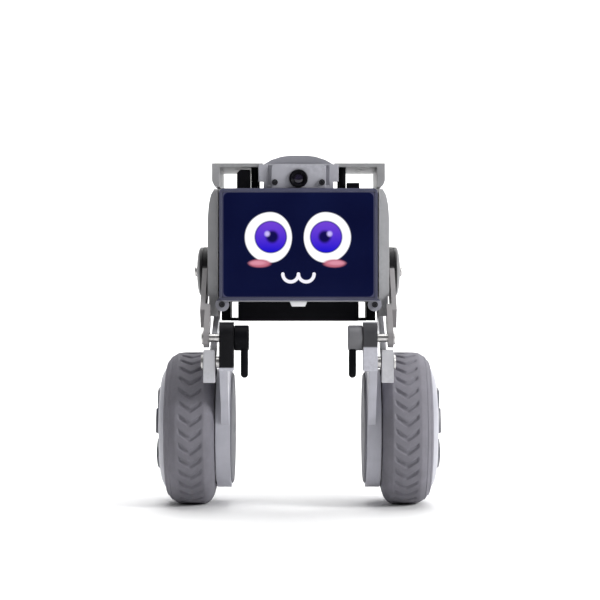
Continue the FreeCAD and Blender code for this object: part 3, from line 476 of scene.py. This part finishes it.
def lathe(name, profile, centre, side, body, slot, material=None, steps=128, ripple=None):
    """A surface turned about X; the profile is (x, radius) in millimetres.

    `ripple(x, radius, angle)` may return a change of the radius in millimetres.
    """
    vertices = []
    for step in range(steps):
        angle = 2 * math.pi * step / steps
        for x, radius in profile:
            reach = radius + (ripple(x, radius, angle) if ripple else 0.0)
            vertices.append((side * x * MM, centre.y - reach * MM * math.cos(angle),
                             centre.z + reach * MM * math.sin(angle)))
    count = len(profile)
    faces = []
    for step in range(steps):
        this, following = step * count, ((step + 1) % steps) * count
        for index in range(count - 1):
            face = [this + index, this + index + 1, following + index + 1, following + index]
            faces.append(face if side < 0 else face[::-1])
    piece = add_piece(name, vertices, faces, body, slot, material)
    close_holes(piece)
    return piece


def close_holes(piece):
    """Join points that fall together on the axis, and make the faces consistent."""
    work = bmesh.new()
    work.from_mesh(piece.data)
    bmesh.ops.remove_doubles(work, verts=work.verts, dist=1e-7)
    bmesh.ops.recalc_face_normals(work, faces=work.faces)
    work.to_mesh(piece.data)
    work.free()
    piece.data.set_sharp_from_angle(angle=SHARP_ANGLE)


# ---- Wheels -----------------------------------------------------------------

GROOVES = 34
TREAD_MIDDLE = 52.3
TREAD_REACH = 6.1
GROOVE_DEPTH = 0.95
# The hub's face stays just inside the CAD box.
HUB_FACE_LIMIT = 70.22


def smooth_step(value):
    value = min(1.0, max(0.0, value))
    return value * value * (3 - 2 * value)


def tread(x, radius, angle):
    """Depth of the chevron grooves: their points face down at the front."""
    if radius < 37.0:
        return 0.0
    off = abs(x - TREAD_MIDDLE)
    turn = (angle * radius - 0.80 * math.sqrt(off * off + 0.8)) * GROOVES / (2 * math.pi * radius)
    phase = turn - math.floor(turn)
    near = abs(phase - 0.5) * 2 * math.pi * radius / GROOVES
    across = smooth_step((1.55 - near) / 1.0)
    along = smooth_step((TREAD_REACH - off) / 1.6)
    return -GROOVE_DEPTH * across * along


def build_tyre(name, side):
    """Tyre with a ribbed shoulder on each side and a chevron tread."""
    outline = [(40.80, 28.1), (40.78, 29.6), (41.4, 32.0), (42.2, 34.2), (43.6, 36.3),
               (45.3, 37.35)]
    outline = rounded(outline, 1.0, 3)
    steps = 44
    low, high = 45.6, 59.4
    for step in range(steps + 1):
        x = low + (high - low) * step / steps
        crown = 0.28 * ((x - TREAD_MIDDLE) / 7.0) ** 2
        outline.append(Vector((x, 37.75 - crown)))
    outer = [(60.3, 37.0), (61.6, 36.2), (62.2, 35.7), (62.6, 35.8), (63.6, 34.6), (64.0, 33.8),
             (64.5, 33.7), (65.2, 32.2), (65.36, 30.7), (65.2, 30.55), (62.05, 30.55)]
    outline += rounded(outer, 0.5, 3)
    tyre = lathe(f"tyre_{name}_tread", [tuple(point) for point in outline], AXLE, side,
                 f"wheel_{name}", "tyre_grey", steps=GROOVES * 16, ripple=tread)
    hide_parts(f"tyre_{name}")


def hub_height(radius, angle):
    """X of the hub cap's face, in millimetres: a cone, a dish and raised petals."""
    if radius > 24.0:
        return 68.15 - 0.1 * (radius - 24.0) - 0.052 * (radius - 24.0) ** 2
    dish = 68.15 - 1.5 * smooth_step((24.0 - radius) / 3.5)
    dish += 1.6 * smooth_step((7.0 - radius) / 2.5)
    petals = 5
    turn = (angle * petals / (2 * math.pi) + 0.3) % 1.0
    off = abs(turn - 0.5) * 2 * math.pi * radius / petals
    half = 2.4 + 0.24 * radius
    sideways = smooth_step((half - off) / 1.0)
    lengthwise = smooth_step((radius - 7.6) / 1.2) * smooth_step((21.5 - radius) / 1.6)
    swell = 3.3 - 0.006 * (radius - 14.0) ** 2
    return dish + swell * sideways * lengthwise


def build_hub(name, side):
    """Hub cap: a pale cone on the tyre, a dish in it, five darker petals and a button."""
    around, out = 240, 72
    reach = 30.35
    vertices = []
    for step in range(around):
        angle = 2 * math.pi * step / around
        radii = [reach * index / out for index in range(out + 1)]
        ring = [(hub_height(radius, angle), radius) for radius in radii]
        ring += [(65.5, 30.45), (62.1, 30.45)]
        for x, radius in ring:
            vertices.append((side * min(x, HUB_FACE_LIMIT) * MM, AXLE.y - radius * MM * math.cos(angle),
                             AXLE.z + radius * MM * math.sin(angle)))
    row = out + 3
    faces = []
    for step in range(around):
        this, following = step * row, ((step + 1) % around) * row
        for index in range(row - 1):
            faces.append([this + index, this + index + 1,
                          following + index + 1, following + index])
    faces.append([step * row + row - 1 for step in range(around)])
    cap = add_piece(f"hub_cap_{name}_face", vertices, faces, f"wheel_{name}", "hub_grey")
    close_holes(cap)
    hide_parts(f"hub_cap_{name}")


def build_hip(name, side):
    """Domed hip cap with a turned groove, and a bore for its socket screw."""
    outline = [(47.32, 3.0), (47.32, 12.15), (48.6, 12.2), (49.3, 11.6), (49.75, 10.4),
               (49.55, 10.0), (49.95, 9.6), (50.4, 6.4), (50.5, 4.4), (49.9, 3.9), (49.9, 2.6),
               (47.4, 2.6)]
    cap = lathe(f"hip_cap_{name}_dome", rounded(outline, 0.35, 4), HIP, side,
                f"thigh_{name}", "hip_cap_grey")
    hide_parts(f"hip_cap_{name}")


def build_guide(name, side):
    """Knee guide: a turned barrel on the knee, and a finger with a round tip."""
    node = f"knee_guide_{name}"
    # The barrel on the robot's left takes the painted highlight grey; the other keeps the guide's own
    # material.
    material = GUIDE_PAINTED_HIGHLIGHT if side > 0 else None
    outline = [(24.6, 0.0), (24.6, 2.1), (30.58, 2.1), (30.58, 4.15), (30.48, 4.2), (30.48, 6.03),
               (23.42, 6.03), (23.42, 2.2), (23.9, 1.9), (23.9, 0.0)]
    barrel = lathe(f"{node}_barrel", rounded(outline, 0.9, 5), KNEE, side, body_of_node(node),
                   SLOT_OF[node], material)
    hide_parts(node)
    half_x, half_y, tip, top = 1.78, 2.98, 64.52, 83.5
    middle = 25.6
    around, rings = 40, 24
    vertices = []
    for ring in range(rings + 1):
        z = tip + (top - tip) * (ring / rings) ** 2
        narrow = min(1.0, (z - tip) / half_x)
        wide = min(1.0, (z - tip) / half_y)
        reach_x = half_x * math.sqrt(1 - (1 - narrow) ** 2)
        reach_y = half_y * math.sqrt(1 - (1 - wide) ** 2)
        for step in range(around):
            angle = 2 * math.pi * step / around
            x = math.copysign(abs(math.cos(angle)) ** 0.6, math.cos(angle)) * reach_x
            y = math.copysign(abs(math.sin(angle)) ** 0.6, math.sin(angle)) * reach_y
            vertices.append(((side * middle + x) * MM, KNEE.y + y * MM, z * MM))
    faces = [list(range(rings * around, (rings + 1) * around))]
    for ring in range(rings):
        for step in range(around):
            this, following = ring * around, (ring + 1) * around
            after = (step + 1) % around
            faces.append([this + step, this + after, following + after, following + step])
    finger = add_piece(f"{node}_finger", vertices, faces, body_of_node(node), SLOT_OF[node])
    close_holes(finger)


# ---- Camera -----------------------------------------------------------------

def build_lens():
    """Camera barrel with stepped rings and a domed front glass."""
    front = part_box("camera_lens")[0].y
    lens_z = centre_of("camera_lens").z
    radius = 4.35
    rings = [(6.0, radius), (0.35, radius), (0.0, radius - 0.35), (0.0, 3.45), (0.55, 3.2),
             (0.55, 2.9), (1.0, 2.75), (1.0, 2.45), (1.5, 2.35), (1.5, 0.0)]
    face = [(1.35, 2.6), (1.05, 2.2), (0.78, 1.4), (0.68, 0.7), (0.66, 0.0)]
    for name, outline, material in (("camera_barrel", rounded(rings, 0.15, 3), None),
                                    ("camera_front_glass", rounded(face, 0.4, 3), LENS_GLASS)):
        vertices, faces = [], []
        steps = 72
        count = len(outline)
        for step in range(steps):
            angle = 2 * math.pi * step / steps
            for depth, reach in outline:
                vertices.append((reach * MM * math.cos(angle), front + depth * MM,
                                 lens_z + reach * MM * math.sin(angle)))
        for step in range(steps):
            this, following = step * count, ((step + 1) % steps) * count
            for index in range(count - 1):
                faces.append([this + index, this + index + 1,
                              following + index + 1, following + index])
        piece = add_piece(name, vertices, faces, "chassis", "lens_black", material)
        close_holes(piece)
        if name == "camera_barrel":
            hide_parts("camera_lens")


# ---- The robot --------------------------------------------------------------

SOFT_EDGES = {
    "display_bezel": 0.35, "display_glass": 0.25, "display_clip": 0.3, "camera_face": 0.3,
    "camera_housing": 0.4, "side_cover_left": 0.5, "side_cover_right": 0.5, "rear_cover": 0.35,
    "roof_bracket": 0.3, "roof_posts": 0.15, "sensor_module": 0.4, "expansion_header": 0.25,
    "top_plate": 0.2, "bottom_plate": 0.2, "battery_box": 0.35, "link_screws": 0.2,
    "case_screws": 0.15, "power_button": 0.3, "usb_socket": 0.1,
}
LEG_SOFT_EDGES = {
    "link_bracket": 0.35, "hip_servo": 0.3, "thigh_arm": 0.35, "hip_screw": 0.25, "knee_pin": 0.25,
    "drive_link": 0.35, "shank": 0.4, "motor_cover": 0.25, "link_pin": 0.2,
}


def dress_nodes():
    """Every node gets its material, and those in view get broken edges."""
    for node, item in NODES.items():
        item.data.materials.clear()
        item.data.materials.append(PAINT[SLOT_OF[node]])
    for node, width in SOFT_EDGES.items():
        soften(node, width)
    for stem, width in LEG_SOFT_EDGES.items():
        for name, side in SIDES:
            # The robot's right shank takes the grey with a painted shadow over its top.
            special = {"motor_cover": MOTOR_GREY, "shank": SHANK_PAINTED_SHADOW if side < 0 else None}
            soften(f"{stem}_{name}", width, material=special.get(stem))


def build_robot():
    dress_nodes()
    build_lens()
    for name, side in SIDES:
        build_tyre(name, side)
        build_hub(name, side)
        build_hip(name, side)
        build_guide(name, side)


# ---- Stage, light and camera ------------------------------------------------

CAMERA_DISTANCE = 0.900
VIEW_WIDTH = 0.300
VIEW_X = 0.75 * MM
VIEW_Z = 101.5 * MM
FLOOR_FRONT = -2.5
BEND_START = 1.2
BEND_RADIUS = 0.8
WALL_TOP = 3.5
STAGE_HALF_WIDTH = 3.5


def build_stage():
    """A plain pale floor that curves up into the backdrop."""
    profile = [(FLOOR_FRONT, 0.0), (BEND_START, 0.0)]
    steps = 12
    for step in range(1, steps + 1):
        angle = math.pi / 2 * step / steps
        profile.append((BEND_START + BEND_RADIUS * math.sin(angle),
                        BEND_RADIUS - BEND_RADIUS * math.cos(angle)))
    profile.append((BEND_START + BEND_RADIUS, WALL_TOP))
    vertices, faces = [], []
    for y, z in profile:
        vertices += [(-STAGE_HALF_WIDTH, y, z), (STAGE_HALF_WIDTH, y, z)]
    for index in range(len(profile) - 1):
        faces.append([2 * index, 2 * index + 1, 2 * index + 3, 2 * index + 2])
    mesh = bpy.data.meshes.new("floor")
    mesh.from_pydata(vertices, [], faces)
    mesh.polygons.foreach_set("use_smooth", [True] * len(mesh.polygons))
    make = Shader("floor_pale")
    make.set(Base_Color=make.mix(make.noise(0.4), rgb(0.94, 0.94, 0.94), rgb(0.96, 0.96, 0.96)),
             Roughness=0.9)
    mesh.materials.append(make.material)
    floor = bpy.data.objects.new("floor", mesh)
    bpy.context.scene.collection.objects.link(floor)


def area_light(name, place, target, size, power):
    lamp = bpy.data.lights.new(name, "AREA")
    lamp.shape = "DISK"
    lamp.size = size
    lamp.energy = power
    item = bpy.data.objects.new(name, lamp)
    item.location = place
    item.rotation_mode = "QUATERNION"
    item.rotation_quaternion = (Vector(target) - Vector(place)).to_track_quat("-Z", "Y")
    bpy.context.scene.collection.objects.link(item)


def build_light():
    """Soft key from the upper right, a broad light overhead, and a bright backdrop."""
    world = bpy.data.worlds.new("studio")
    world.use_nodes = True
    world.node_tree.nodes["Background"].inputs["Color"].default_value = (0.97, 0.98, 1.0, 1.0)
    world.node_tree.nodes["Background"].inputs["Strength"].default_value = 0.17
    bpy.context.scene.world = world
    middle = (0.0, 0.0, 0.09)
    area_light("key", (1.25, -0.60, 0.70), middle, 0.6, 18.5)
    area_light("overhead", (0.15, 0.25, 1.5), (0.05, 0.15, 0.0), 2.0, 23.0)
    area_light("backdrop_light", (0.0, 0.9, 1.4), (0.0, 2.0, 0.25), 1.2, 26.0)


def build_camera():
    lens = bpy.data.cameras.new("camera")
    lens.sensor_width = 36.0
    lens.lens = lens.sensor_width * CAMERA_DISTANCE / VIEW_WIDTH
    lens.clip_start = 0.05
    lens.clip_end = 20.0
    camera = bpy.data.objects.new("camera", lens)
    camera.location = (VIEW_X, AXLE.y - CAMERA_DISTANCE, VIEW_Z)
    camera.rotation_mode = "QUATERNION"
    camera.rotation_quaternion = Vector((0, 1, 0)).to_track_quat("-Z", "Y")
    bpy.context.scene.collection.objects.link(camera)
    bpy.context.scene.camera = camera


bpy.context.scene.view_settings.view_transform = "Standard"
build_robot()
build_stage()
build_light()
build_camera()
